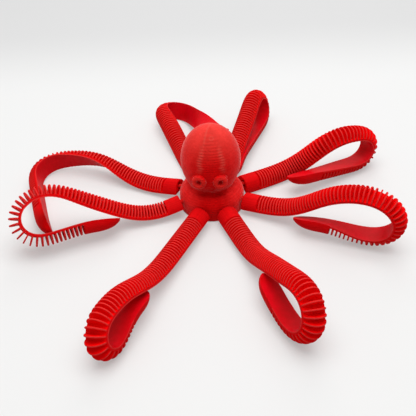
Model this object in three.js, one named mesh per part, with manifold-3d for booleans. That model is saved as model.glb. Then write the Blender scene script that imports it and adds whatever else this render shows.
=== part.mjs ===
// A toy octopus: a body with eight ball studs, and eight finned arms that clip to them.
// Millimetres, +Z up, origin on the table under the middle of the hub, the face towards -Y.
import * as THREE from 'three';
import { mergeVertices } from 'three/addons/utils/BufferGeometryUtils.js';
import Module from 'manifold-3d';

const wasm = await Module();
wasm.setup();

// Body
const hubRadius = 17;
const hubWallHeight = 6.5;
const hubTopHeight = 14.6;
const hubFootBevel = 0.6;
const neckRadius = 8.6;
const headRadius = 15.4;
const headHalfHeight = 19.3;
const headCentreHeight = 27.9;
const headSides = 24;
const headSteps = 10;
const domeSteps = 3;

// Eyes: short cups on the front of the head, which is turned a little to its right
const eyeOuterRadius = 3.35;
const eyeRimRadius = 2.2;
const eyePupilRadius = 0.95;
const eyePupilDepth = 1.8;
const eyeStandOut = 2.3;
const eyeRootDepth = 3;
const eyeSpread = 5.1;
const eyeHeight = 24.2;
const eyeToeOut = 10;
const eyeTiltUp = 4;
const faceTurn = -4;
const eyeSides = 12;

// Ball studs and the sockets that grip them
const armCount = 8;
const ballHeight = 6.5;
const ballRadius = 2;
const ballClearance = 0.3;
const studNeckRadius = 1;
const studRootDepth = 3;
const socketDepth = 3;
const socketHeight = 2.8;
const socketMouthRadius = 1.7;
const socketFlare = 0.9;
const collarGap = 1.2;
const cutOvershoot = 1;
const ballSides = 8;
const ballSteps = 4;

// Arms: a thin flat band that carries half-disc fins, a plain collar and a plain tip
const armWidth = 11;
const armHeight = 6;
const bandThickness = 1.2;
const collarLength = 8.6;
const finCount = 61;
const finThickness = 0.9;
const firstPitch = 1.66;
const lastPitch = 2.1;
const tipLength = 19;
const tipRoundLength = 13;
const tipNarrowLength = 9;
const tipEndShare = 0.22;
const tipSteps = 4;
const finArcPoints = 3;
const thickestEdge = 0.6;

// Each arm flexes where a slot between two fins is cut through the band
const hingeGap = 0.3;
const rootHingeFins = [4, 10, 16];
const loopHingeOffsets = [-4, 4];
const sectionNames = ['collar', 'root', 'rise', 'crown', 'loop', 'tip'];

// How each arm lies: turned at its ball, then bent and twisted along its length.
// A bend or twist is [degrees, where its middle is, how far it is spread], the last two in percent
// of the arm's length. A positive bend curls the flat side inwards.
const arms = [
  {
    name: 'front_left', swing: -3, lift: 2, roll: -12, loopFin: 51,
    bends: [[-24.5, 37.5, 35], [29.5, 57.5, 28], [198.5, 73, 25], [-31, 89.5, 21]],
    twists: [[7, 68.5, 42]],
  },
  {
    name: 'front_right', swing: -1.5, lift: -2, roll: -1, loopFin: 48,
    bends: [[-38.5, 25.5, 35], [13.5, 33, 28], [210, 69, 38.5], [6, 89.5, 21]],
    twists: [[-26, 64, 42], [18, 79, 42]],
  },
  {
    name: 'right_front', swing: -5.5, lift: 4, roll: -4, loopFin: 43,
    bends: [[-35.5, 18, 35], [28, 39.5, 28], [201.5, 62, 44.5], [-16, 89.5, 21]],
    twists: [[-29, 68.5, 42], [50, 77.5, 42]],
  },
  {
    name: 'right_back', swing: 5, lift: -2.5, roll: -28, loopFin: 42,
    bends: [[-59, 22.5, 35], [70.5, 41.5, 28], [170, 60.5, 25]],
    twists: [[-43, 47.5, 42], [19, 79, 42]],
  },
  {
    name: 'back_right', swing: 3.5, lift: 14, roll: 14, loopFin: 35,
    bends: [[-17, 41, 35], [41, 44.5, 28], [173, 51.5, 25], [-22, 89.5, 21]],
    twists: [[-3, 45.5, 42]],
  },
  {
    name: 'back_left', swing: -7, lift: -10, roll: 11, loopFin: 37,
    bends: [[-26.5, 16, 35], [13.5, 32.5, 28], [176, 54, 25], [12, 89.5, 21]],
    twists: [[-82, 43.5, 42], [-86, 78.5, 42]],
  },
  {
    name: 'left_back', swing: -3, lift: -10.5, roll: -2, loopFin: 41,
    bends: [[-26, 16, 35], [32, 40, 28], [108.5, 59, 25], [6, 89.5, 21]],
    twists: [[54, 27.5, 42], [36, 49, 42]],
  },
  {
    name: 'left_front', swing: -3.5, lift: -12.5, roll: -14.5, loopFin: 46,
    bends: [[-43.5, 14, 35], [69.5, 52.5, 28], [144, 66, 25], [-14, 89.5, 21]],
    twists: [[30, 46, 42], [3, 73.5, 42]],
  },
];
const firstArmAngle = -112.5;
const pathStep = 0.5;

const red = { color: 0xd21f1c, roughness: 0.55, metalness: 0 };

const radians = THREE.MathUtils.degToRad;

// Places along an arm
const armAngleStep = 360 / armCount;
const ballRingRadius = hubRadius + collarGap + socketDepth;
const pitchGrowth = (lastPitch - firstPitch) / (finCount - 1);
const finStart = (fin) => collarLength + fin * firstPitch + (pitchGrowth * fin * (fin - 1)) / 2
  + (firstPitch - finThickness);
const tipStart = finStart(finCount);
const armLength = tipStart + tipLength;
const slotMiddle = (fin) => (finStart(fin - 1) + finThickness + finStart(fin)) / 2;

// Solids for joining and cutting
function toSolid(geometry) {
  const bare = new THREE.BufferGeometry();
  bare.setAttribute('position', geometry.getAttribute('position'));
  if (geometry.index) bare.setIndex(geometry.index);
  const merged = mergeVertices(bare, 1e-4);
  return new wasm.Manifold(new wasm.Mesh({
    numProp: 3,
    vertProperties: new Float32Array(merged.getAttribute('position').array),
    triVerts: new Uint32Array(merged.index.array),
  }));
}

function fromSolid(solid) {
  const mesh = solid.getMesh();
  const geometry = new THREE.BufferGeometry();
  geometry.setAttribute('position', new THREE.BufferAttribute(mesh.vertProperties, 3));
  geometry.setIndex(new THREE.BufferAttribute(mesh.triVerts, 1));
  geometry.computeVertexNormals();
  return geometry;
}

function revolve(profile, sides) {
  return new THREE.LatheGeometry(profile.map(([r, y]) => new THREE.Vector2(r, y)), sides);
}

// Turns a revolved shape's axis from +Y to a direction, and moves its origin to a point
function aim(geometry, direction, point) {
  const turn = new THREE.Quaternion().setFromUnitVectors(new THREE.Vector3(0, 1, 0), direction);
  return geometry.applyQuaternion(turn).translate(point.x, point.y, point.z);
}

function arcPoints(from, to, steps, place) {
  return Array.from({ length: steps + 1 }, (_, i) => place(radians(from + ((to - from) * i) / steps)));
}

// Body: low domed hub, egg-shaped head, two eye cups and a ring of ball studs
function hubGeometry() {
  const dome = arcPoints(0, 90, domeSteps, (a) => [
    neckRadius + (hubRadius - neckRadius) * Math.cos(a),
    hubWallHeight + (hubTopHeight - hubWallHeight) * Math.sin(a),
  ]);
  const profile = [[0, 0], [hubRadius - hubFootBevel, 0], [hubRadius, hubFootBevel], ...dome,
    [0, hubTopHeight]];
  return aim(revolve(profile, headSides), new THREE.Vector3(0, 0, 1), new THREE.Vector3());
}

function headGeometry() {
  const egg = arcPoints(-90, 90, headSteps, (a) => [headRadius * Math.cos(a), headHalfHeight * Math.sin(a)]);
  egg[0][0] = 0;
  egg[headSteps][0] = 0;
  const middle = new THREE.Vector3(0, 0, headCentreHeight);
  return aim(revolve(egg, headSides), new THREE.Vector3(0, 0, 1), middle);
}

// Point of the head's surface that an eye stands on, and the way that the eye looks
function eyePlace(side) {
  const x = side * eyeSpread;
  const z = eyeHeight - headCentreHeight;
  const ringRadius = headRadius * Math.sqrt(1 - (z / headHalfHeight) ** 2);
  const point = new THREE.Vector3(x, -Math.sqrt(ringRadius ** 2 - x ** 2), eyeHeight);
  const toe = radians(eyeToeOut) * side;
  const tilt = radians(eyeTiltUp);
  const look = new THREE.Vector3(
    Math.sin(toe) * Math.cos(tilt),
    -Math.cos(toe) * Math.cos(tilt),
    Math.sin(tilt),
  );
  const up = new THREE.Vector3(0, 0, 1);
  for (const way of [point, look]) way.applyAxisAngle(up, radians(faceTurn));
  return { point, look };
}

function eyeSolids(side) {
  const { point, look } = eyePlace(side);
  const shoulder = eyeOuterRadius - eyeRimRadius;
  const rim = arcPoints(0, 90, 2, (a) => [
    eyeRimRadius + shoulder * Math.cos(a),
    eyeStandOut - shoulder + shoulder * Math.sin(a),
  ]);
  const cup = [[0, -eyeRootDepth], [eyeOuterRadius, -eyeRootDepth], ...rim, [0, eyeStandOut]];
  const pupilFloor = eyeStandOut - eyePupilDepth;
  const pupilMouth = eyeStandOut + cutOvershoot;
  const pupil = [[0, pupilFloor], [eyePupilRadius, pupilFloor], [eyePupilRadius, pupilMouth], [0, pupilMouth]];
  return {
    cup: toSolid(aim(revolve(cup, eyeSides), look, point)),
    pupil: toSolid(aim(revolve(pupil, eyeSides), look, point)),
  };
}

const ballPlace = (index) => {
  const angle = radians(firstArmAngle + index * armAngleStep);
  const out = new THREE.Vector3(Math.cos(angle), Math.sin(angle), 0);
  return { out, centre: out.clone().multiplyScalar(ballRingRadius).setZ(ballHeight) };
};

function studGeometry(index) {
  const { out, centre } = ballPlace(index);
  const neckStart = -(socketDepth + collarGap + studRootDepth);
  const neckAngle = -90 + THREE.MathUtils.radToDeg(Math.asin(studNeckRadius / ballRadius));
  const ball = arcPoints(neckAngle, 90, ballSteps, (a) => [ballRadius * Math.cos(a), ballRadius * Math.sin(a)]);
  ball[ballSteps][0] = 0;
  return aim(revolve([[0, neckStart], [studNeckRadius, neckStart], ...ball], ballSides), out, centre);
}

function bodyGeometry() {
  let body = toSolid(hubGeometry()).add(toSolid(headGeometry()));
  for (const side of [-1, 1]) {
    const eye = eyeSolids(side);
    body = body.add(eye.cup).subtract(eye.pupil);
  }
  arms.forEach((_, index) => {
    body = body.add(toSolid(studGeometry(index)));
  });
  return fromSolid(body);
}

// The frame that runs along an arm: a point on the flat side, the way along it,
// the way across it and the way that the fins point
function armFrames(arm, index) {
  const { out, centre } = ballPlace(index);
  const up = new THREE.Vector3(0, 0, 1);
  const along = out.clone().applyAxisAngle(up, radians(arm.swing));
  const across = up.clone().cross(along);
  along.applyAxisAngle(across, -radians(arm.lift));
  const finWay = along.clone().cross(across);
  finWay.applyAxisAngle(along, -radians(arm.roll));
  across.applyAxisAngle(along, -radians(arm.roll));
  const point = centre.clone().addScaledVector(along, -socketDepth).addScaledVector(finWay, -socketHeight);

  const rate = (list, s) => list.reduce((sum, [turn, middle, spread]) => {
    const over = (spread / 100) * armLength;
    const x = (s - (middle / 100) * armLength) / over;
    return Math.abs(x) < 0.5 ? sum + (radians(turn) * (1 + Math.cos(2 * Math.PI * x))) / over : sum;
  }, 0);

  const frames = [];
  const steps = Math.ceil(armLength / pathStep) + 1;
  for (let i = 0; i <= steps; i += 1) {
    frames.push({ point: point.clone(), along: along.clone(), across: across.clone(), finWay: finWay.clone() });
    const s = (i + 0.5) * pathStep;
    const turn = across.clone().multiplyScalar(rate(arm.bends, s)).addScaledVector(along, rate(arm.twists, s));
    const angle = turn.length() * pathStep;
    const before = along.clone();
    if (angle > 0) {
      turn.normalize();
      for (const axis of [along, across, finWay]) axis.applyAxisAngle(turn, angle);
    }
    point.addScaledVector(before.add(along), pathStep / 2);
  }
  return frames;
}

function frameAt(frames, s) {
  const at = Math.max(0, s / pathStep);
  const i = Math.min(Math.floor(at), frames.length - 2);
  const share = at - i;
  const mix = (key) => frames[i][key].clone().lerp(frames[i + 1][key], share);
  return {
    point: mix('point'),
    along: mix('along').normalize(),
    across: mix('across').normalize(),
    finWay: mix('finWay').normalize(),
  };
}

// Corners of the arm's section at one place: flat side, band edges and the round back.
// width and height are shares of the full section, and ahead moves it straight along the arm.
function sectionRing(frames, s, { width = 1, height = 1, ahead = 0 } = {}) {
  const { point, along, across, finWay } = frameAt(frames, s);
  point.addScaledVector(along, ahead);
  const place = (b, n) => point.clone().addScaledVector(across, b).addScaledVector(finWay, n);
  const half = (armWidth / 2) * width;
  const tall = armHeight * height;
  const edgeAngle = Math.asin(Math.min(thickestEdge, bandThickness / tall));
  const back = Array.from({ length: finArcPoints + 2 }, (_, i) => {
    const a = edgeAngle + ((Math.PI - 2 * edgeAngle) * i) / (finArcPoints + 1);
    return place(half * Math.cos(a), tall * Math.sin(a));
  });
  return { left: place(half, 0), right: place(-half, 0), back };
}

// Collects the faces of one closed arm section
class Skin {
  constructor() {
    this.values = [];
  }

  fan(corners) {
    for (let i = 1; i < corners.length - 1; i += 1) {
      for (const corner of [corners[0], corners[i], corners[i + 1]]) this.values.push(...corner.toArray());
    }
  }

  // Round back, from one ring to the next
  back(a, b) {
    for (let k = 0; k + 1 < a.back.length; k += 1) {
      this.fan([a.back[k], a.back[k + 1], b.back[k + 1], b.back[k]]);
    }
  }

  // Top of the band in a slot
  slot(a, b) {
    const last = a.back.length - 1;
    this.fan([a.back[0], a.back[last], b.back[last], b.back[0]]);
  }

  // Flat side and the band's two edges, past any rings on the way
  band(rings) {
    const first = rings[0];
    const end = rings[rings.length - 1];
    const last = first.back.length - 1;
    this.fan([first.right, first.left, end.left, end.right]);
    this.fan([first.left, ...rings.map((ring) => ring.back[0]), end.left]);
    this.fan([end.right, ...rings.map((ring) => ring.back[last]).reverse(), first.right]);
  }

  // Face of a fin, towards the tip or towards the collar
  finFace(ring, towardsTip) {
    this.fan(towardsTip ? ring.back : [...ring.back].reverse());
  }

  // End of the section: the whole outline, or the band alone
  cap(ring, towardsTip, whole) {
    const back = whole ? ring.back : [ring.back[0], ring.back[ring.back.length - 1]];
    const outline = [ring.left, ...back, ring.right];
    this.fan(towardsTip ? outline : outline.reverse());
  }

  geometry() {
    const geometry = new THREE.BufferGeometry();
    geometry.setAttribute('position', new THREE.Float32BufferAttribute(this.values, 3));
    const merged = mergeVertices(geometry, 1e-4);
    merged.computeVertexNormals();
    return merged;
  }
}

// Shares of the section's width and height along the plain tip
function tipShares(s) {
  const rounding = (length) => {
    const x = Math.max(0, s - (armLength - length)) / length;
    return Math.max(tipEndShare, Math.sqrt(Math.max(0, 1 - x * x)));
  };
  return { width: rounding(tipNarrowLength), height: rounding(tipRoundLength) };
}

// One stretch of an arm, from fin number first up to fin number last.
// The fins are stiff: only the band between them bends.
function stretchGeometry(frames, first, last, isCollar, isTip) {
  const skin = new Skin();
  const finEdge = (fin, side) => sectionRing(frames, finStart(fin) + finThickness / 2, {
    ahead: (side * finThickness) / 2,
  });
  const finFront = (fin) => (fin === finCount ? sectionRing(frames, tipStart) : finEdge(fin, -1));
  let open = finFront(first);
  if (isCollar) {
    const start = sectionRing(frames, 0);
    const end = sectionRing(frames, collarLength);
    skin.cap(start, false, true);
    skin.back(start, end);
    skin.finFace(end, true);
    skin.slot(end, open);
    skin.band([start, end, open]);
  } else {
    const start = sectionRing(frames, slotMiddle(first) + hingeGap / 2);
    skin.cap(start, false, false);
    skin.slot(start, open);
    skin.band([start, open]);
  }
  for (let fin = first; fin < last; fin += 1) {
    const end = finEdge(fin, 1);
    const isCut = fin === last - 1 && !isTip;
    const next = isCut ? sectionRing(frames, slotMiddle(last) - hingeGap / 2) : finFront(fin + 1);
    skin.finFace(open, false);
    skin.back(open, end);
    skin.finFace(end, true);
    skin.slot(end, next);
    skin.band([open, end, next]);
    open = next;
  }
  if (!isTip) {
    skin.cap(open, true, false);
    return skin.geometry();
  }
  skin.finFace(open, false);
  const plainLength = tipLength - tipRoundLength;
  for (let i = 0; i <= tipSteps; i += 1) {
    const s = tipStart + plainLength + tipRoundLength * Math.sin(radians((90 * i) / tipSteps));
    const next = sectionRing(frames, s, tipShares(s));
    skin.back(open, next);
    skin.band([open, next]);
    open = next;
  }
  skin.cap(open, true, true);
  return skin.geometry();
}

// Room for the ball and for its neck at full swing
function socketGeometry(frames) {
  const { point, along, finWay } = frameAt(frames, 0);
  const centre = point.clone().addScaledVector(along, socketDepth).addScaledVector(finWay, socketHeight);
  const radius = (ballRadius + ballClearance) / Math.cos(Math.PI / ballSides);
  const mouthAngle = THREE.MathUtils.radToDeg(Math.acos(socketMouthRadius / radius));
  const bowl = arcPoints(-90, mouthAngle, ballSteps, (a) => [radius * Math.cos(a), radius * Math.sin(a)]);
  bowl[0][0] = 0;
  const outside = socketDepth + cutOvershoot;
  const profile = [...bowl, [socketMouthRadius + socketFlare, outside], [0, outside]];
  return aim(revolve(profile, ballSides), along.clone().negate(), centre);
}

// The octopus
const octopus = new THREE.Group();

function addPiece(name, geometry) {
  const mesh = new THREE.Mesh(geometry, new THREE.MeshStandardMaterial(red));
  mesh.name = name;
  octopus.add(mesh);
}

addPiece('body', bodyGeometry());

// Where each arm turns, as the record's joints have it: the ball first, then the cut slots
octopus.userData.hinges = [];

arms.forEach((arm, index) => {
  const frames = armFrames(arm, index);
  const cuts = [0, ...rootHingeFins, ...loopHingeOffsets.map((offset) => arm.loopFin + offset), finCount];
  sectionNames.forEach((section, i) => {
    const isCollar = i === 0;
    const isTip = i === sectionNames.length - 1;
    const name = `${arm.name}_${section}`;
    let geometry = stretchGeometry(frames, cuts[i], cuts[i + 1], isCollar, isTip);
    if (isCollar) geometry = fromSolid(toSolid(geometry).subtract(toSolid(socketGeometry(frames))));
    addPiece(name, geometry);

    const slot = frameAt(frames, slotMiddle(cuts[i]));
    const place = isCollar
      ? ballPlace(index).centre
      : slot.point.addScaledVector(slot.finWay, bandThickness / 2);
    const axis = isCollar ? new THREE.Vector3(0, 0, 1) : slot.across;
    octopus.userData.hinges.push({ child: name, arm: arm.name, place, axis });
  });
});

export default octopus;
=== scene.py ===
import math

import bmesh
import bpy
from mathutils import Matrix, Vector


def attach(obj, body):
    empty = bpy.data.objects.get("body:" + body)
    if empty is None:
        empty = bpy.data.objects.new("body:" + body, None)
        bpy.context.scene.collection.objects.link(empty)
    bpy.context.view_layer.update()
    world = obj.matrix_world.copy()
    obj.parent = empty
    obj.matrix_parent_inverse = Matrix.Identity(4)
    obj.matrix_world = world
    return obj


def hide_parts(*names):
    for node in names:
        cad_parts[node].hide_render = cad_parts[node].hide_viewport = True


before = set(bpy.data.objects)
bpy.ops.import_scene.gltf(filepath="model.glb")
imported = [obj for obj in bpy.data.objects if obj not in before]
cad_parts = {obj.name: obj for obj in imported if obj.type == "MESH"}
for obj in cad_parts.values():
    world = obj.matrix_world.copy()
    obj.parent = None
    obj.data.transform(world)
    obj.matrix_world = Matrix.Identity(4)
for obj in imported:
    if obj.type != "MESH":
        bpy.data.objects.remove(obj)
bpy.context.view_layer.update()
mm = 0.001  # pieces are drawn in millimetres, the scene is in metres
upWay = Vector((0, 0, 1))

# camera: the photograph's high front view
cameraSet = {
    "target": (-2.4, -5.0, 0.0),
    "elevation": 38,
    "distance": 368,
    "roll": -2.4,
    "lens": 60.06,
    "sensor": 36,
    "nearest": 10,
}


def makeCamera(spec):
    tilt = math.radians(spec["elevation"])
    back = Vector((0, -math.cos(tilt), math.sin(tilt)))
    data = bpy.data.cameras.new("photoCamera")
    data.lens = spec["lens"]
    data.sensor_width = spec["sensor"]
    data.clip_start = spec["nearest"] * mm
    camera = bpy.data.objects.new("photoCamera", data)
    roll = Matrix.Rotation(math.radians(spec["roll"]), 4, "Z")
    turn = Matrix.Rotation(math.pi / 2 - tilt, 4, "X") @ roll
    place = (Vector(spec["target"]) + back * spec["distance"]) * mm
    camera.matrix_world = Matrix.Translation(place) @ turn
    bpy.context.scene.collection.objects.link(camera)
    bpy.context.scene.camera = camera


makeCamera(cameraSet)
print("camera placed")


# node helpers
def addNode(tree, kind, where, **settings):
    node = tree.nodes.new(kind)
    node.location = where
    for key, value in settings.items():
        setattr(node, key, value)
    return node


def feed(tree, socket, value):
    if isinstance(value, bpy.types.NodeSocket):
        tree.links.new(value, socket)
    else:
        socket.default_value = value


def addMath(tree, operation, where, first, second=None):
    node = addNode(tree, "ShaderNodeMath", where, operation=operation)
    feed(tree, node.inputs[0], first)
    if second is not None:
        feed(tree, node.inputs[1], second)
    return node.outputs[0]


# smooth step of a value, from one number at the low end to another at the high end
def addRamp(tree, where, value, low, high, toLow=0.0, toHigh=1.0):
    node = addNode(tree, "ShaderNodeMapRange", where, interpolation_type="SMOOTHSTEP")
    tree.links.new(value, node.inputs["Value"])
    for label, number in (("From Min", low), ("From Max", high), ("To Min", toLow), ("To Max", toHigh)):
        node.inputs[label].default_value = number
    return node.outputs["Result"]


# 1 in the middle of a range of heights, fading to 0 at both of its ends
def addBand(tree, where, value, heights):
    low, lowFull, highFull, high = heights
    up = addRamp(tree, (where[0] - 200, where[1]), value, low, lowFull)
    down = addRamp(tree, (where[0] - 200, where[1] + 200), value, high, highFull)
    return addMath(tree, "MULTIPLY", where, up, down)


def addMix(tree, where, share, first, second):
    node = addNode(tree, "ShaderNodeMix", where, data_type="RGBA")
    for label, value in (("Factor", share), ("A", first), ("B", second)):
        feed(tree, node.inputs[label], value)
    return node.outputs["Result"]


def addNoise(tree, where, place, **values):
    node = addNode(tree, "ShaderNodeTexNoise", where, noise_dimensions="3D")
    tree.links.new(place, node.inputs["Vector"])
    for label, value in values.items():
        node.inputs[label].default_value = value
    return node.outputs["Fac"]


def addSplit(tree, where, vector):
    node = addNode(tree, "ShaderNodeSeparateXYZ", where)
    tree.links.new(vector, node.inputs[0])
    return node.outputs


# 1 for a ray that shows the background as it looks: seen by the camera, mirrored or through glass
def addSeen(tree, where):
    path = addNode(tree, "ShaderNodeLightPath", where)
    clear = addMath(tree, "MAXIMUM", (where[0] + 200, where[1]), path.outputs["Is Glossy Ray"],
                    path.outputs["Is Transmission Ray"])
    return addMath(tree, "MAXIMUM", (where[0] + 400, where[1]), path.outputs["Is Camera Ray"], clear)


def newGroup(name, inputs, outputs):
    group = bpy.data.node_groups.new(name, "ShaderNodeTree")
    for way, sockets in (("INPUT", inputs), ("OUTPUT", outputs)):
        for label, kind in sockets.items():
            group.interface.new_socket(label, in_out=way, socket_type=f"NodeSocket{kind}")
    start = addNode(group, "NodeGroupInput", (-900, 0))
    end = addNode(group, "NodeGroupOutput", (700, 0))
    return group, start.outputs, end.inputs


def placeGroup(tree, group, where, **values):
    node = addNode(tree, "ShaderNodeGroup", where)
    node.node_tree = group
    for label, value in values.items():
        feed(tree, node.inputs[label], value)
    return node.outputs


def newMaterial(name):
    material = bpy.data.materials.new(name)
    material.use_nodes = True
    return material, material.node_tree


# printed layers: rounded beads stacked along one height, a little uneven
layerSet = {
    "driftScale": 0.35,
    "driftDetail": 3.0,
    "unevenness": 0.3,
    "roundness": 0.5,
}


def makeLayerGroup(spec):
    group, start, end = newGroup("printLayers", {"Height": "Float", "Pitch": "Float", "Place": "Vector"},
                                 {"Bead": "Float", "Drift": "Float"})
    noise = addNoise(group, (-650, -200), start["Place"], Scale=spec["driftScale"],
                     Detail=spec["driftDetail"])
    drift = addMath(group, "MULTIPLY", (-450, -200), noise, spec["unevenness"])
    count = addMath(group, "DIVIDE", (-450, 100), start["Height"], start["Pitch"])
    moved = addMath(group, "ADD", (-250, 100), count, drift)
    wave = addMath(group, "PINGPONG", (-50, 100), moved, 0.5)
    bead = addMath(group, "POWER", (150, 100), wave, spec["roundness"])
    group.links.new(bead, end["Bead"])
    group.links.new(noise, end["Drift"])
    return group


# colour of the plastic: two close reds in soft patches, darker between the beads, pale on print marks and on
# painted highlights
toneSet = {
    "patchScale": 0.12,
    "patchDetail": 4.0,
    "patchRoughness": 0.68,
    "beadShare": 0.5,
    "redRange": (0.35, 1.0),
}


def makeToneGroup(spec):
    group, start, end = newGroup(
        "printTone",
        {"Place": "Vector", "Deep": "Color", "Bright": "Color", "Pale": "Color",
         "Bead": "Float", "Edge": "Float"},
        {"Color": "Color", "Patch": "Float"},
    )
    noise = addNoise(group, (-650, -100), start["Place"], Scale=spec["patchScale"],
                     Detail=spec["patchDetail"], Roughness=spec["patchRoughness"])
    share = addMath(group, "MULTIPLY", (-400, 150), start["Bead"], spec["beadShare"])
    mixed = addRamp(group, (0, 50), addMath(group, "ADD", (-200, 50), noise, share), *spec["redRange"])
    red = addMix(group, (200, 0), mixed, start["Deep"], start["Bright"])
    edged = addMix(group, (450, 0), start["Edge"], red, start["Pale"])
    group.links.new(edged, end["Color"])
    group.links.new(noise, end["Patch"])
    return group


layerGroup = makeLayerGroup(layerSet)
toneGroup = makeToneGroup(toneSet)

# roughness follows the soft patches of the colour
plastic = {
    "roughness": (0.5, 0.64),
    "patchRange": (0.2, 0.8),
    "coatRoughness": 0.42,
}


def makePlastic(material, tone, place, bead, reds, edge, satin=None):
    tree = material.node_tree
    sockets = tree.nodes["Principled BSDF"].inputs
    made = placeGroup(tree, toneGroup, (-450, 150), Place=place, Deep=reds[0], Bright=reds[1],
                      Pale=tone["pale"], Bead=bead, Edge=edge)
    tree.links.new(made["Color"], sockets["Base Color"])
    rough = addRamp(tree, (-200, -50), made["Patch"], *plastic["patchRange"], *plastic["roughness"])
    tree.links.new(rough, sockets["Roughness"])
    sockets["Specular IOR Level"].default_value = tone["specular"]
    sockets["Coat Roughness"].default_value = plastic["coatRoughness"]
    if satin is not None:
        tree.links.new(satin, sockets["Coat Weight"])
    relief = addNode(tree, "ShaderNodeBump", (-200, -300))
    relief.inputs["Distance"].default_value = tone["relief"]
    tree.links.new(bead, relief.inputs["Height"])
    tree.links.new(relief.outputs["Normal"], sockets["Normal"])
    return material


# body: brighter sides as painted side light, a darker front of the neck as painted shade, a paler top as a
# painted highlight, and a soft sheen
# turns are degrees away from the front, heights are millimetres
bodyTone = {
    "deep": (0.58, 0.0005, 0.001, 1),
    "bright": (0.72, 0.001, 0.002, 1),
    # pale: the colour of the print marks and of the painted highlights
    "pale": (0.66, 0.11, 0.08, 1),
    # painted side light: brighter reds for the sides of the body
    "paintedSideLightDeep": (0.74, 0.006, 0.006, 1),
    "paintedSideLightBright": (0.92, 0.022, 0.021, 1),
    "paintedSideLightTurn": (10, 58),
    # painted shade: a dark red for the front of the neck, under the head
    "neck": (0.3, 0.0002, 0.0005, 1),
    "paintedNeckShadeHeights": (12, 14, 15.5, 21),
    "paintedNeckShadeTurn": (62, 12),
    "paintedNeckShadeShare": 0.5,
    # painted highlight: the top of the head turns paler
    "paintedTopHighlight": (30, 48, 0, 0.28),
    "grainScale": 0.9,
    "grainRange": (0.35, 0.65),
    "grainShare": 0.3,
    "specular": 0.04,
    "sheen": 0.58,
    "sheenTint": (1, 0.5, 0.48, 1),
    "sheenRoughness": 0.3,
    "pitch": 1.25,
    "relief": 0.24 * mm,
}
# print marks on the head, and a painted highlight on the rims of the eyes
headMarks = {
    "skin": (1.1, 1.03),
    "streakTurn": 22,
    "streakWidth": 9,
    "streakJag": 6,
    "streakHeights": (27, 32, 37, 44),
    "streakDashes": (0.2, 0.65, 0.25, 1),
    "streakRelief": 0.6,
    "streakPale": 0.4,
    "linesTurn": (26, 15.6),
    "linesLeast": 0.3,
    "linesPatches": (0.35, 0.6, 0.25, 1),
    "seamAt": -0.5,
    "seamLean": 0.29,
    "seamWidth": 0.9,
    "seamHeights": (40, 45),
    "dimple": (0.6, -7.4, 44.8),
    "dimpleSize": 1.0,
    "dimpleLine": 0.5,
    "linePale": 0.2,
    "eyesAbove": 17.5,
    "paintedEyeRimHighlight": (1.12, 1.3, 0, 0.12),
}


# jagged streaks at both sides of the face: the end of each printed layer strays a little
def addStreaks(tree, spec, pitch, aside, z, bead):
    layer = addMath(tree, "FLOOR", (-1800, 100), addMath(tree, "DIVIDE", (-2000, 100), z, pitch))
    jag = addNode(tree, "ShaderNodeTexWhiteNoise", (-1600, 100), noise_dimensions="1D")
    tree.links.new(layer, jag.inputs["W"])
    centred = addMath(tree, "SUBTRACT", (-1500, 50), jag.outputs["Value"], 0.5)
    stray = addMath(tree, "MULTIPLY", (-1400, 100), centred, spec["streakJag"])
    strayed = addMath(tree, "ADD", (-1300, 250), aside, stray)
    off = addMath(tree, "SUBTRACT", (-1200, 300), strayed, spec["streakTurn"])
    off = addMath(tree, "ABSOLUTE", (-1100, 300), off)
    near = addRamp(tree, (-1000, 300), off, spec["streakWidth"], 0)
    rise = addBand(tree, (-900, 500), z, spec["streakHeights"])
    dashes = addRamp(tree, (-1000, 0), bead, *spec["streakDashes"])
    whole = addMath(tree, "MULTIPLY", (-800, 350), near, rise)
    return addMath(tree, "MULTIPLY", (-700, 350), whole, dashes)


# 1 on the head's egg shape, more outside it
def addShell(tree, form, x, y, z):
    across = addMath(tree, "ADD", (-1900, -700), addMath(tree, "POWER", (-2000, -650), x, 2),
                     addMath(tree, "POWER", (-2000, -800), y, 2))
    wide = addMath(tree, "DIVIDE", (-1700, -700), across, form["headRadius"] ** 2)
    above = addMath(tree, "SUBTRACT", (-1800, -900), z, form["headCentre"])
    tall = addMath(tree, "DIVIDE", (-1700, -900), above, form["headHalfHeight"])
    return addMath(tree, "ADD", (-1400, -800), wide, addMath(tree, "POWER", (-1600, -900), tall, 2))


# layer lines, weaker at the sides of the head, with fine grain
def addLines(tree, tone, marks, place, layers, aside, onHead):
    patchy = addRamp(tree, (-1200, -250), layers["Drift"], *marks["linesPatches"])
    between = addRamp(tree, (-1000, -100), aside, *marks["linesTurn"], marks["linesLeast"], 1)
    offHead = addMath(tree, "SUBTRACT", (-1000, -500), 1, onHead)
    strong = addMath(tree, "MAXIMUM", (-900, -300), between, offHead)
    strength = addMath(tree, "MULTIPLY", (-800, -150), strong, patchy)
    lines = addMath(tree, "MULTIPLY", (-700, -100), layers["Bead"], strength)
    grain = addNoise(tree, (-1000, -650), place, Scale=tone["grainScale"])
    speckle = addRamp(tree, (-800, -650), grain, *tone["grainRange"], 0, tone["grainShare"])
    return addMath(tree, "ADD", (-650, -50), lines, speckle)


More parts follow.
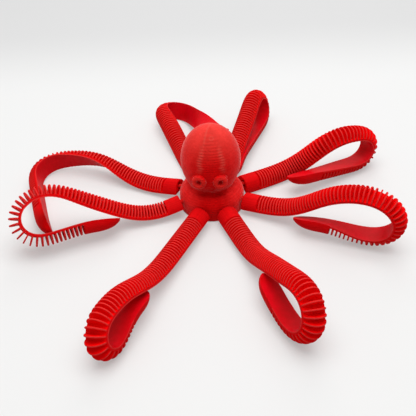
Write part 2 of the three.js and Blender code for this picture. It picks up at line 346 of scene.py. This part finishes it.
# a leaning seam on the top of the head and the ring of a small dimple
def addSeam(tree, spec, place, x, y, z):
    lean = addMath(tree, "MULTIPLY", (-1600, 900), y, spec["seamLean"])
    leaned = addMath(tree, "SUBTRACT", (-1500, 900), x, lean)
    seamOff = addMath(tree, "SUBTRACT", (-1400, 900), leaned, spec["seamAt"])
    seamOff = addMath(tree, "ABSOLUTE", (-1200, 900), seamOff)
    near = addRamp(tree, (-1100, 900), seamOff, spec["seamWidth"], 0)
    high = addRamp(tree, (-1100, 1100), z, *spec["seamHeights"])
    seam = addMath(tree, "MULTIPLY", (-900, 900), near, high)
    reach = addNode(tree, "ShaderNodeVectorMath", (-1200, 1300), operation="DISTANCE")
    tree.links.new(place, reach.inputs[0])
    reach.inputs[1].default_value = spec["dimple"]
    ringOff = addMath(tree, "SUBTRACT", (-1000, 1300), reach.outputs["Value"], spec["dimpleSize"])
    ringOff = addMath(tree, "ABSOLUTE", (-900, 1300), ringOff)
    ring = addRamp(tree, (-800, 1300), ringOff, spec["dimpleLine"], 0)
    return addMath(tree, "MAXIMUM", (-800, 1000), seam, ring)


def makeBodyPlastic(tone, marks):
    material, tree = newMaterial("redPrintBody")
    coords = addNode(tree, "ShaderNodeTexCoord", (-2600, 0))
    scaled = addNode(tree, "ShaderNodeVectorMath", (-2400, 0), operation="SCALE")
    scaled.inputs["Scale"].default_value = 1 / mm
    tree.links.new(coords.outputs["Object"], scaled.inputs[0])
    place = scaled.outputs["Vector"]
    x, y, z = addSplit(tree, (-2200, -100), place)
    turn = addMath(tree, "ARCTAN2", (-1800, 300), x, addMath(tree, "MULTIPLY", (-2000, 300), y, -1))
    degrees = addMath(tree, "MULTIPLY", (-1600, 300), turn, 180 / math.pi)
    aside = addMath(tree, "ABSOLUTE", (-1400, 300), degrees)
    layers = placeGroup(tree, layerGroup, (-1900, -400), Height=z, Pitch=tone["pitch"], Place=place)
    shell = addShell(tree, bodyForm, x, y, z)
    onHead = addRamp(tree, (-1200, -800), shell, *marks["skin"])  # 1 on the head itself, 0 on eyes and hub

    streaks = addStreaks(tree, marks, tone["pitch"], aside, z, layers["Bead"])
    raised = addMath(tree, "MULTIPLY", (-650, 100), streaks, marks["streakRelief"])
    lines = addLines(tree, tone, marks, place, layers, aside, onHead)
    bead = addMath(tree, "ADD", (-550, -50), lines, raised)

    # paler streaks, seam and dimple from the print, a paler top of the head as a painted highlight, and
    # paler rims of the eyes as a painted highlight
    streakPale = addMath(tree, "MULTIPLY", (-750, 900), streaks, marks["streakPale"])
    seam = addSeam(tree, marks, place, x, y, z)
    linePale = addMath(tree, "MULTIPLY", (-750, 1100), seam, marks["linePale"])
    drawn = addMath(tree, "ADD", (-650, 900), streakPale, linePale)
    paintedTopHighlight = addRamp(tree, (-1000, 1500), z, *tone["paintedTopHighlight"])
    skin = addMath(tree, "MULTIPLY", (-450, 800), onHead, addMath(tree, "ADD", (-550, 700), drawn, paintedTopHighlight))
    # painted highlight: the rims of the eye cups turn paler
    paintedEyeRimHighlight = addMath(tree, "MULTIPLY", (-600, -900), addRamp(tree, (-800, -900), shell, *marks["paintedEyeRimHighlight"]),
                     addMath(tree, "GREATER_THAN", (-800, -1100), z, marks["eyesAbove"]))
    edge = addMath(tree, "MAXIMUM", (-350, 700), skin, paintedEyeRimHighlight)

    # painted side light: the sides of the body get the brighter reds
    paintedSideLight = addRamp(tree, (-1000, 2300), aside, *tone["paintedSideLightTurn"])
    # painted shade: the front of the neck gets the dark red
    paintedNeckShade = addMath(tree, "MULTIPLY", (-750, 2700), addBand(tree, (-900, 2700), z, tone["paintedNeckShadeHeights"]),
                     addRamp(tree, (-900, 2900), aside, *tone["paintedNeckShadeTurn"], 0, tone["paintedNeckShadeShare"]))
    reds = []
    for middle, side in (("deep", "paintedSideLightDeep"), ("bright", "paintedSideLightBright")):
        red = addMix(tree, (-750, 300), paintedSideLight, tone[middle], tone[side])
        reds.append(addMix(tree, (-600, 300), paintedNeckShade, red, tone["neck"]))
    sockets = tree.nodes["Principled BSDF"].inputs
    sockets["Sheen Weight"].default_value = tone["sheen"]
    sockets["Sheen Tint"].default_value = tone["sheenTint"]
    sockets["Sheen Roughness"].default_value = tone["sheenRoughness"]
    return makePlastic(material, tone, place, bead, reds, edge)


# arms: paler rims and band edges as painted highlights, a smoother crimson flat side, and brighter slots as
# painted light
armTone = {
    "deep": (0.58, 0.001, 0.002, 1),
    "bright": (0.72, 0.002, 0.004, 1),
    # pale: the colour of the painted highlights on fin rims and band edges
    "pale": (0.76, 0.08, 0.07, 1),
    "crimson": (0.77, 0.0005, 0.01, 1),
    # painted light: a brighter red in the slots between the fins
    "slot": (0.88, 0.001, 0.002, 1),
    "outerRange": (0.9, 1.0),
    # painted highlights: heights of the pale lines on band edges and fin rims, and their share on fins, then
    # on collar and tip
    "paintedBandHighlight": (0.6, 0.3),
    "paintedFinHighlight": (1.2, 1.6),
    "linePale": (0.33, 0.02),
    "flatRange": (0.15, 0.02),
    "satin": 0.16,
    "specular": 0.02,
    "pitch": 0.8,
    "relief": 0.04 * mm,
}


def makeArmPlastic(tone):
    material, tree = newMaterial("redPrintArm")
    attribute = addNode(tree, "ShaderNodeAttribute", (-2200, 0), attribute_name="armPlace")
    place = attribute.outputs["Vector"]
    along, side, rise = addSplit(tree, (-2000, -100), place)
    layers = placeGroup(tree, layerGroup, (-1700, -400), Height=rise, Pitch=tone["pitch"], Place=place)
    wide = addMath(tree, "DIVIDE", (-1800, 200), side, armForm["halfWidth"])
    tall = addMath(tree, "DIVIDE", (-1800, 0), rise, armForm["height"])
    shell = addMath(tree, "ADD", (-1400, 150), addMath(tree, "POWER", (-1600, 200), wide, 2),
                    addMath(tree, "POWER", (-1600, 0), tall, 2))
    outer = addRamp(tree, (-1200, 150), shell, *tone["outerRange"])  # 1 on the outline, 0 deep in a slot
    # painted highlights: pale lines on the band edges and the fin rims
    paintedBandHighlight = addRamp(tree, (-1200, 350), rise, *tone["paintedBandHighlight"])
    paintedFinHighlight = addRamp(tree, (-1200, 550), rise, *tone["paintedFinHighlight"])
    lines = addMath(tree, "MAXIMUM", (-1000, 400), paintedBandHighlight, paintedFinHighlight)
    plain = addMath(tree, "MAXIMUM", (-1200, 800),
                    addMath(tree, "LESS_THAN", (-1400, 800), along, armForm["collar"]),
                    addMath(tree, "GREATER_THAN", (-1400, 950), along, tipStart))
    paintedHighlightShare = addRamp(tree, (-1000, 800), plain, 0, 1, *tone["linePale"])  # on fins, then on collar and tip
    drawn = addMath(tree, "MULTIPLY", (-900, 300), outer, lines)
    edge = addMath(tree, "MULTIPLY", (-750, 400), drawn, paintedHighlightShare)
    flat = addRamp(tree, (-1000, -100), rise, *tone["flatRange"])
    solid = addMath(tree, "MAXIMUM", (-1100, -300), outer, plain)
    covered = addMath(tree, "MAXIMUM", (-1000, -300), solid, flat)
    # painted light: the slots get a brighter red for the light the fins throw on each other
    slot = addMath(tree, "SUBTRACT", (-850, -300), 1, covered)  # 1 in the slots, where fins light each other
    deep = addMix(tree, (-600, 300), slot, tone["deep"], tone["slot"])
    bright = addMix(tree, (-750, 100), flat, tone["bright"], tone["crimson"])
    bright = addMix(tree, (-600, 100), slot, bright, tone["slot"])
    satin = addMath(tree, "MULTIPLY", (-700, -200), flat, tone["satin"])
    return makePlastic(material, tone, place, layers["Bead"], (deep, bright), edge, satin)


# every piece: doubled points joined, sharp edges kept
pieceFinish = {
    "weld": 0.004 * mm,
    "latheWeld": 0.001 * mm,
    "creaseAngle": 50,
}


def finishPiece(bm, name, material, body):
    bmesh.ops.remove_doubles(bm, verts=bm.verts[:], dist=pieceFinish["weld"])
    bmesh.ops.recalc_face_normals(bm, faces=bm.faces[:])
    for face in bm.faces:
        face.smooth = True
    mesh = bpy.data.meshes.new(name)
    bm.to_mesh(mesh)
    bm.free()
    mesh.set_sharp_from_angle(angle=math.radians(pieceFinish["creaseAngle"]))
    mesh.materials.append(material)
    piece = bpy.data.objects.new(name, mesh)
    bpy.context.scene.collection.objects.link(piece)
    shading = piece.modifiers.new("edgeShading", "WEIGHTED_NORMAL")
    shading.keep_sharp = True
    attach(piece, body)
    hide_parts(body)


# body: hub, head, eye cups and ball studs in one print
bodyForm = {
    "hubRadius": 17,
    "hubWall": 6.5,
    "hubTop": 14.6,
    "footBevel": 0.6,
    "neckRadius": 8.6,
    "headRadius": 15.4,
    "headHalfHeight": 19.3,
    "headCentre": 27.9,
    "headStart": -60,
    "grooveWidth": 1.5,
    "grooveDepth": 1.35,
    "grooveIn": 0.3,
    "grooveLip": 0.3,
    "grooveSteps": (0.2, 0.35, 0.5, 0.65, 0.8),
    "sides": 96,
    "wallSteps": 5,
    "domeSteps": 14,
    "headSteps": 40,
}
eyeForm = {
    "outer": 3.65,
    "rim": 2.3,
    "pupil": 1.15,
    "pupilDepth": 2.6,
    "pupilDish": 0.2,
    "foot": 0.5,
    "standOut": 2.7,
    "root": 3,
    "spread": 5.1,
    "height": 24.2,
    "toeOut": 10,
    "tiltUp": 4,
    "faceTurn": -4,
    "skirtSteps": 4,
    "outsideSteps": 8,
    "insideSteps": 6,
    "sides": 40,
}
studForm = {
    "ballRing": 21.2,
    "height": 6.5,
    "ball": 2,
    "neck": 1,
    "root": 3,
    "flare": 0.7,
    "flareShare": 0.3,
    "flareHeight": 0.3,
    "neckHeight": 0.9,
    "ballSteps": 10,
    "sides": 24,
}


def latheProfile(points, sides):
    bm = bmesh.new()
    verts = [bm.verts.new((radius * mm, 0, height * mm)) for radius, height in points]
    edges = [bm.edges.new(pair) for pair in zip(verts, verts[1:])]
    bmesh.ops.spin(bm, geom=verts + edges, cent=(0, 0, 0), axis=upWay, angle=2 * math.pi,
                   steps=sides, use_merge=True)
    bmesh.ops.remove_doubles(bm, verts=bm.verts[:], dist=pieceFinish["latheWeld"])
    bmesh.ops.recalc_face_normals(bm, faces=bm.faces[:])
    return bm


def addTo(bm, other):
    mesh = bpy.data.meshes.new("loan")
    other.to_mesh(mesh)
    other.free()
    bm.from_mesh(mesh)
    bpy.data.meshes.remove(mesh)


def arcPoints(centre, size, start, end, steps):
    turns = [math.radians(start + (end - start) * k / steps) for k in range(steps + 1)]
    return [(centre[0] + size[0] * math.cos(t), centre[1] + size[1] * math.sin(t)) for t in turns]


def bodyProfile(form):
    def insideHead(point):
        wide = point[0] / form["headRadius"]
        tall = (point[1] - form["headCentre"]) / form["headHalfHeight"]
        return math.hypot(wide, tall) < 1

    foot = form["footBevel"]
    radius = form["hubRadius"]
    wallRise = (form["hubWall"] - foot) / form["wallSteps"]
    wall = [(radius, foot + wallRise * k) for k in range(form["wallSteps"])]
    domeSize = (radius - form["neckRadius"], form["hubTop"] - form["hubWall"])
    dome = arcPoints((form["neckRadius"], form["hubWall"]), domeSize, 0, 90, form["domeSteps"])
    dome = [p for p in dome if not insideHead(p)]
    domeTop = Vector(dome[-1])
    headSize = (form["headRadius"], form["headHalfHeight"])
    head = arcPoints((0, form["headCentre"]), headSize, form["headStart"], 90, form["headSteps"])
    head = [p for p in head
            if p[1] > form["headCentre"] or (p[1] > domeTop.y and p[0] > form["neckRadius"])]

    # a rounded groove takes the place of the crease between dome and head
    crease = (domeTop + Vector(head[0])) / 2
    dome = [p for p in dome if (Vector(p) - crease).length > form["grooveWidth"]]
    head = [p for p in head if p[1] > crease.y + form["grooveLip"]]
    before, after = Vector(dome[-1]), Vector(head[0])
    floor = crease - Vector((form["grooveIn"], form["grooveDepth"]))
    bend = [before.lerp(floor, t).lerp(floor.lerp(after, t), t) for t in form["grooveSteps"]]
    head[-1] = (0, head[-1][1])
    return [(0, 0), (radius - foot, 0)] + wall + dome + [tuple(p) for p in bend] + head


def eyeProfile(form):
    tube = form["outer"] - form["rim"]
    top = form["standOut"]
    foot = form["foot"]
    skirt = arcPoints((form["outer"] + foot, foot), (foot, foot), 270, 180, form["skirtSteps"])
    outside = arcPoints((form["rim"], top - tube), (tube, tube), 0, 90, form["outsideSteps"])
    insideSize = (form["rim"] - form["pupil"], tube)
    inside = arcPoints((form["rim"], top - tube), insideSize, 90, 180, form["insideSteps"])
    floor = top - form["pupilDepth"]
    return [(0, -form["root"]), (form["outer"] + foot, -form["root"])] + skirt + outside + inside[1:] + [
        (form["pupil"], floor), (0, floor - form["pupilDish"])]


def makeEye(side):
    x = side * eyeForm["spread"]
    drop = (eyeForm["height"] - bodyForm["headCentre"]) / bodyForm["headHalfHeight"]
    ringRadius = bodyForm["headRadius"] * math.sqrt(1 - drop ** 2)
    point = Vector((x, -math.sqrt(ringRadius ** 2 - x ** 2), eyeForm["height"]))
    toe = math.radians(eyeForm["toeOut"]) * side
    tilt = math.radians(eyeForm["tiltUp"])
    look = Vector((math.sin(toe) * math.cos(tilt), -math.cos(toe) * math.cos(tilt), math.sin(tilt)))
    face = Matrix.Rotation(math.radians(eyeForm["faceTurn"]), 4, "Z")
    eye = latheProfile(eyeProfile(eyeForm), eyeForm["sides"])
    place = face @ Matrix.Translation(point * mm) @ upWay.rotation_difference(look).to_matrix().to_4x4()
    bmesh.ops.transform(eye, matrix=place, verts=eye.verts[:])
    return eye


def makeStud(angle):
    ball = studForm["ball"]
    neck = studForm["neck"]
    reach = studForm["ballRing"] - bodyForm["hubRadius"]
    start = math.degrees(-math.acos(neck / ball))
    stem = [(0, -studForm["root"]), (neck + studForm["flare"], -studForm["root"]),
            (neck + studForm["flare"], 0),
            (neck + studForm["flareShare"] * studForm["flare"], studForm["flareHeight"]),
            (neck, studForm["neckHeight"])]
    knob = arcPoints((0, reach), (ball, ball), start, 90, studForm["ballSteps"])
    knob[-1] = (0, reach + ball)
    stud = latheProfile(stem + knob, studForm["sides"])
    out = Vector((math.cos(angle), math.sin(angle), 0))
    place = Matrix.Translation((out * bodyForm["hubRadius"] + upWay * studForm["height"]) * mm)
    bmesh.ops.transform(stud, matrix=place @ upWay.rotation_difference(out).to_matrix().to_4x4(),
                        verts=stud.verts[:])
    return stud


# arms: one bending band with stiff fins, lying as in the photograph
armForm = {
    "halfWidth": 5.5,
    "height": 6,
    "band": 1.2,
    "bandLedge": 1.15,
    "collar": 8.6,
    "fins": 61,
    "finThickness": 0.9,
    "firstPitch": 1.66,
    "lastPitch": 2.1,
    "tip": 19,
    "tipRound": 13,
    "tipNarrow": 9,
    "tipEnd": 0.22,
    "tipStep": 1.2,
    "ballRing": 21.2,
    "ballHeight": 6.5,
    "socketDepth": 3,
    "socketHeight": 2.8,
    "pathStep": 0.5,
    "leastTurn": 1e-9,
    "arcSteps": 14,
    "flatSteps": 4,
    "finEdge": 0.16,
    "finSlim": 0.06,
    "blockEdge": 0.35,
    "firstAngle": -112.5,
    "armTurn": 45,
    "rootCuts": (4, 10, 16),
    "loopCuts": (-4, 4),
}
# depth and radius of the socket, from its end to its mouth
socketRings = ((5.2, 0.8), (4.5, 1.9), (3.0, 2.45), (1.5, 1.85), (0.5, 1.95), (0.0, 2.4))
sectionNames = ("collar", "root", "rise", "crown", "loop", "tip")

# bends and twists are (degrees, middle, spread), the last two in percent of the arm's length
armLies = (
    {"name": "front_left", "swing": -3, "lift": 2, "roll": -12, "loopFin": 51,
     "bends": ((-24.5, 37.5, 35), (29.5, 57.5, 28), (198.5, 73, 25), (-31, 89.5, 21)),
     "twists": ((7, 68.5, 42),)},
    {"name": "front_right", "swing": -1.5, "lift": -2, "roll": -1, "loopFin": 48,
     "bends": ((-38.5, 25.5, 35), (13.5, 33, 28), (210, 69, 38.5), (6, 89.5, 21)),
     "twists": ((-26, 64, 42), (18, 79, 42))},
    {"name": "right_front", "swing": -5.5, "lift": 4, "roll": -4, "loopFin": 43,
     "bends": ((-35.5, 18, 35), (28, 39.5, 28), (201.5, 62, 44.5), (-16, 89.5, 21)),
     "twists": ((-29, 68.5, 42), (50, 77.5, 42))},
    {"name": "right_back", "swing": 5, "lift": -2.5, "roll": -28, "loopFin": 42,
     "bends": ((-59, 22.5, 35), (70.5, 41.5, 28), (170, 60.5, 25)),
     "twists": ((-43, 47.5, 42), (19, 79, 42))},
    {"name": "back_right", "swing": 3.5, "lift": 14, "roll": 14, "loopFin": 35,
     "bends": ((-17, 41, 35), (41, 44.5, 28), (173, 51.5, 25), (-22, 89.5, 21)),
     "twists": ((-3, 45.5, 42),)},
    {"name": "back_left", "swing": -7, "lift": -10, "roll": 11, "loopFin": 37,
     "bends": ((-26.5, 16, 35), (13.5, 32.5, 28), (176, 54, 25), (12, 89.5, 21)),
     "twists": ((-82, 43.5, 42), (-86, 78.5, 42))},
    {"name": "left_back", "swing": -3, "lift": -10.5, "roll": -2, "loopFin": 41,
     "bends": ((-26, 16, 35), (32, 40, 28), (108.5, 59, 25), (6, 89.5, 21)),
     "twists": ((54, 27.5, 42), (36, 49, 42))},
    {"name": "left_front", "swing": -3.5, "lift": -12.5, "roll": -14.5, "loopFin": 46,
     "bends": ((-43.5, 14, 35), (69.5, 52.5, 28), (144, 66, 25), (-14, 89.5, 21)),
     "twists": ((30, 46, 42), (3, 73.5, 42))},
)


def armAngle(index):
    return math.radians(armForm["firstAngle"] + armForm["armTurn"] * index)


def finStart(fin):
    growth = (armForm["lastPitch"] - armForm["firstPitch"]) / (armForm["fins"] - 1)
    start = armForm["collar"] + armForm["firstPitch"] - armForm["finThickness"]
    return start + fin * armForm["firstPitch"] + growth * fin * (fin - 1) / 2


def slotMiddle(fin):
    return (finStart(fin - 1) + armForm["finThickness"] + finStart(fin)) / 2


tipStart = finStart(armForm["fins"])
armLength = tipStart + armForm["tip"]

bodyPlastic = makeBodyPlastic(bodyTone, headMarks)
armPlastic = makeArmPlastic(armTone)
print("materials made")


def turnRate(turns, place):
    total = 0
    for degrees, middle, spread in turns:
        over = armLength * spread / 100
        x = (place - armLength * middle / 100) / over
        if abs(x) < 0.5:
            total += math.radians(degrees) * (1 + math.cos(2 * math.pi * x)) / over
    return total


def turned(vector, axis, degrees):
    return Matrix.Rotation(math.radians(degrees), 3, axis) @ vector


def armPath(lie, index):
    angle = armAngle(index)
    out = Vector((math.cos(angle), math.sin(angle), 0))
    along = turned(out, upWay, lie["swing"])
    across = upWay.cross(along)
    along = turned(along, across, -lie["lift"])
    finWay = along.cross(across)
    finWay = turned(finWay, along, -lie["roll"])
    across = turned(across, along, -lie["roll"])
    ball = out * armForm["ballRing"] + upWay * armForm["ballHeight"]
    point = ball - along * armForm["socketDepth"] - finWay * armForm["socketHeight"]
    step = armForm["pathStep"]
    path = [(point, along, across, finWay)]
    for k in range(math.ceil(armLength / step) + 1):
        place = (k + 0.5) * step
        turn = (across * turnRate(lie["bends"], place) + along * turnRate(lie["twists"], place)) * step
        bent = turn.length > armForm["leastTurn"]
        spin = Matrix.Rotation(turn.length, 3, turn) if bent else Matrix.Identity(3)
        nextAlong = spin @ along
        point = point + (along + nextAlong) * step / 2
        along, across, finWay = nextAlong, spin @ across, spin @ finWay
        path.append((point, along, across, finWay))
    return path


def pathAt(path, place):
    share = max(0, place) / armForm["pathStep"]
    k = min(int(share), len(path) - 2)
    return [a.lerp(b, share - k) for a, b in zip(path[k], path[k + 1])]


# outline spots round the arm, the arched back first and then the flat side
# each outline gives how far a spot lies to the side and how high it rises from the flat side
arc = [math.pi * k / armForm["arcSteps"] for k in range(armForm["arcSteps"] + 1)]
outlineSpots = [(math.cos(t), math.sin(t)) for t in arc]
outlineSpots += [(2 * k / armForm["flatSteps"] - 1, 0) for k in range(1, armForm["flatSteps"])]


def finOutline(spot, inset=0):
    side, rise = outlineSpots[spot]
    if rise * armForm["height"] <= armForm["band"] * armForm["bandLedge"]:
        return bandOutline(spot)
    return side * (armForm["halfWidth"] - inset), rise * (armForm["height"] - inset)


def bandOutline(spot):
    side, rise = outlineSpots[spot]
    return side * armForm["halfWidth"], min(rise * armForm["height"], armForm["band"])


def blockOutline(spot, inset=0, wide=1, tall=1):
    side, rise = outlineSpots[spot]
    return (side * (armForm["halfWidth"] * wide - inset),
            inset + rise * (armForm["height"] * tall - 2 * inset))


def socketOutline(spot, radius):
    side, rise = blockOutline(spot)
    turn = math.atan2(rise - armForm["socketHeight"], side)
    return radius * math.cos(turn), armForm["socketHeight"] + radius * math.sin(turn)


def startRing(path):
    bm = bmesh.new()
    spots = bm.verts.layers.int.new("ringSpot")
    places = bm.verts.layers.float_vector.new("armPlace")
    made = bmesh.ops.create_circle(bm, cap_ends=True, segments=len(outlineSpots), radius=1)
    for spot, vert in enumerate(made["verts"]):
        vert[spots] = spot
    return {"bm": bm, "path": path, "verts": made["verts"], "edges": bm.edges[:],
            "spots": spots, "places": places}


def placeRing(ring, place, outline, stiffAt):
    point, along, across, finWay = pathAt(ring["path"], stiffAt)
    for vert in ring["verts"]:
        side, rise = outline(vert[ring["spots"]])
        vert[ring["places"]] = (place, side, rise)
        vert.co = (point + along * (place - stiffAt) + across * side + finWay * rise) * mm


def growRing(ring, place, outline, stiffAt=None):
    grown = bmesh.ops.extrude_edge_only(ring["bm"], edges=ring["edges"])["geom"]
    ring["verts"] = [g for g in grown if isinstance(g, bmesh.types.BMVert)]
    new = set(ring["verts"])
    ring["edges"] = [g for g in grown if isinstance(g, bmesh.types.BMEdge) and new.issuperset(g.verts)]
    placeRing(ring, place, outline, place if stiffAt is None else stiffAt)


def growFins(ring, first, last):
    thick = armForm["finThickness"] - 2 * armForm["finSlim"]
    edge = armForm["finEdge"]
    for fin in range(first, last):
        start = finStart(fin) + armForm["finSlim"]
        middle = start + thick / 2
        growRing(ring, start, bandOutline, middle)
        growRing(ring, start, lambda spot: finOutline(spot, edge), middle)
        growRing(ring, start + edge, finOutline, middle)
        growRing(ring, start + thick - edge, finOutline, middle)
        growRing(ring, start + thick, lambda spot: finOutline(spot, edge), middle)
        growRing(ring, start + thick, bandOutline, middle)


def growCollar(ring):
    edge = armForm["blockEdge"]
    depth, radius = socketRings[0]
    placeRing(ring, depth, lambda spot: socketOutline(spot, radius), depth)
    for depth, radius in socketRings[1:]:
        growRing(ring, depth, lambda spot: socketOutline(spot, radius))
    growRing(ring, 0, lambda spot: blockOutline(spot, edge))
    growRing(ring, edge, blockOutline)
    growRing(ring, armForm["collar"] / 2, blockOutline)
    growRing(ring, armForm["collar"] - edge, blockOutline)
    growRing(ring, armForm["collar"], lambda spot: finOutline(spot, edge))
    growRing(ring, armForm["collar"], bandOutline)


def tipShare(place, length):
    x = max(0, place - (armLength - length)) / length
    return max(armForm["tipEnd"], math.sqrt(max(0, 1 - x * x)))


def growTip(ring):
    edge = armForm["blockEdge"]
    growRing(ring, tipStart, bandOutline)
    growRing(ring, tipStart, lambda spot: finOutline(spot, edge))
    steps = math.ceil((armForm["tip"] - edge) / armForm["tipStep"])
    for k in range(steps + 1):
        place = tipStart + edge + (armForm["tip"] - edge) * k / steps
        wide = tipShare(place, armForm["tipNarrow"])
        tall = tipShare(place, armForm["tipRound"])
        growRing(ring, place, lambda spot: blockOutline(spot, 0, wide, tall))


def makeArm(lie, index):
    path = armPath(lie, index)
    loop = [lie["loopFin"] + offset for offset in armForm["loopCuts"]]
    cuts = [0, *armForm["rootCuts"], *loop, armForm["fins"]]
    for k, section in enumerate(sectionNames):
        ring = startRing(path)
        if section == "collar":
            growCollar(ring)
        else:
            start = slotMiddle(cuts[k])
            placeRing(ring, start, bandOutline, start)
        growFins(ring, cuts[k], cuts[k + 1])
        if section == "tip":
            growTip(ring)
        else:
            growRing(ring, slotMiddle(cuts[k + 1]), bandOutline)
        bmesh.ops.edgeloop_fill(ring["bm"], edges=ring["edges"])
        ring["bm"].verts.layers.int.remove(ring["spots"])
        body = f"{lie['name']}_{section}"
        finishPiece(ring["bm"], f"{body}_print", armPlastic, body)


def makeBody():
    bm = latheProfile(bodyProfile(bodyForm), bodyForm["sides"])
    for side in (-1, 1):
        addTo(bm, makeEye(side))
    for index in range(len(armLies)):
        addTo(bm, makeStud(armAngle(index)))
    finishPiece(bm, "body_print", bodyPlastic, "body")


makeBody()
print("body made")
for index, lie in enumerate(armLies):
    makeArm(lie, index)
print("arms made:", len(armLies))

# studio: pale table that glows a little and is greyer at the back
# soft light from above, from behind and all round, with lengths in metres
studio = {
    "floorNear": (0.478, 0.479, 0.476, 1),
    "floorFar": (0.405, 0.405, 0.405, 1),
    "floorFade": (0.125, 0.235),
    "floorGlow": (0.68, 1.4),
    "glowReach": (0.4, 1.6),
    "floorSize": 30,
    "floorDrop": 0.00005,
    "floorRoughness": 0.8,
    "floorSpecular": 0.1,
    "worldColor": (1, 1, 1, 1),
    "worldStrength": 0.44,
    "backdrop": (0.93, 0.93, 0.93, 1),
    "topLamp": (0.03, -0.03, 0.75),
    "topSize": 0.7,
    "topPower": 5.2,
    "backLamp": (0.1, 0.75, 0.6),
    "backSize": 0.6,
    "backPower": 1.8,
}


def makeTable(spec):
    bm = bmesh.new()
    bmesh.ops.create_grid(bm, x_segments=1, y_segments=1, size=spec["floorSize"])
    mesh = bpy.data.meshes.new("tableTop")
    bm.to_mesh(mesh)
    bm.free()
    floor = bpy.data.objects.new("tableTop", mesh)
    floor.location.z = -spec["floorDrop"]
    bpy.context.scene.collection.objects.link(floor)
    paper, tree = newMaterial("tablePaper")
    sockets = tree.nodes["Principled BSDF"].inputs
    coords = addNode(tree, "ShaderNodeTexCoord", (-900, 0))
    back = addSplit(tree, (-700, 0), coords.outputs["Object"])["Y"]
    fade = addRamp(tree, (-450, 0), back, *spec["floorFade"])
    shade = addMix(tree, (-250, 0), fade, spec["floorNear"], spec["floorFar"])
    tree.links.new(shade, sockets["Base Color"])
    tree.links.new(shade, sockets["Emission Color"])
    away = addNode(tree, "ShaderNodeVectorMath", (-700, -450), operation="LENGTH")
    tree.links.new(coords.outputs["Object"], away.inputs[0])
    glow = addRamp(tree, (-450, -450), away.outputs["Value"], *spec["glowReach"], *spec["floorGlow"])
    shown = addMath(tree, "MULTIPLY", (-250, -300), addSeen(tree, (-900, -700)), glow)
    tree.links.new(shown, sockets["Emission Strength"])
    sockets["Roughness"].default_value = spec["floorRoughness"]
    sockets["Specular IOR Level"].default_value = spec["floorSpecular"]
    mesh.materials.append(paper)


def makeWorld(spec):
    world = bpy.data.worlds.new("studioWorld")
    bpy.context.scene.world = world
    world.use_nodes = True
    tree = world.node_tree
    light = tree.nodes["Background"]
    light.inputs["Color"].default_value = spec["worldColor"]
    light.inputs["Strength"].default_value = spec["worldStrength"]
    seen = addNode(tree, "ShaderNodeBackground", (0, -200))
    seen.inputs["Color"].default_value = spec["backdrop"]
    choice = addNode(tree, "ShaderNodeMixShader", (250, 0))
    tree.links.new(addSeen(tree, (-400, 300)), choice.inputs["Fac"])
    tree.links.new(light.outputs[0], choice.inputs[1])
    tree.links.new(seen.outputs[0], choice.inputs[2])
    tree.links.new(choice.outputs[0], tree.nodes["World Output"].inputs["Surface"])


def makeLamp(name, place, size, power):
    data = bpy.data.lights.new(name, "AREA")
    data.size = size
    data.energy = power
    lamp = bpy.data.objects.new(name, data)
    aim = Vector(place).to_track_quat("Z", "Y").to_matrix().to_4x4()
    lamp.matrix_world = Matrix.Translation(place) @ aim
    bpy.context.scene.collection.objects.link(lamp)


makeTable(studio)
makeWorld(studio)
makeLamp("topLamp", studio["topLamp"], studio["topSize"], studio["topPower"])
makeLamp("backLamp", studio["backLamp"], studio["backSize"], studio["backPower"])
bpy.context.scene.view_settings.view_transform = "Standard"
print("studio made")
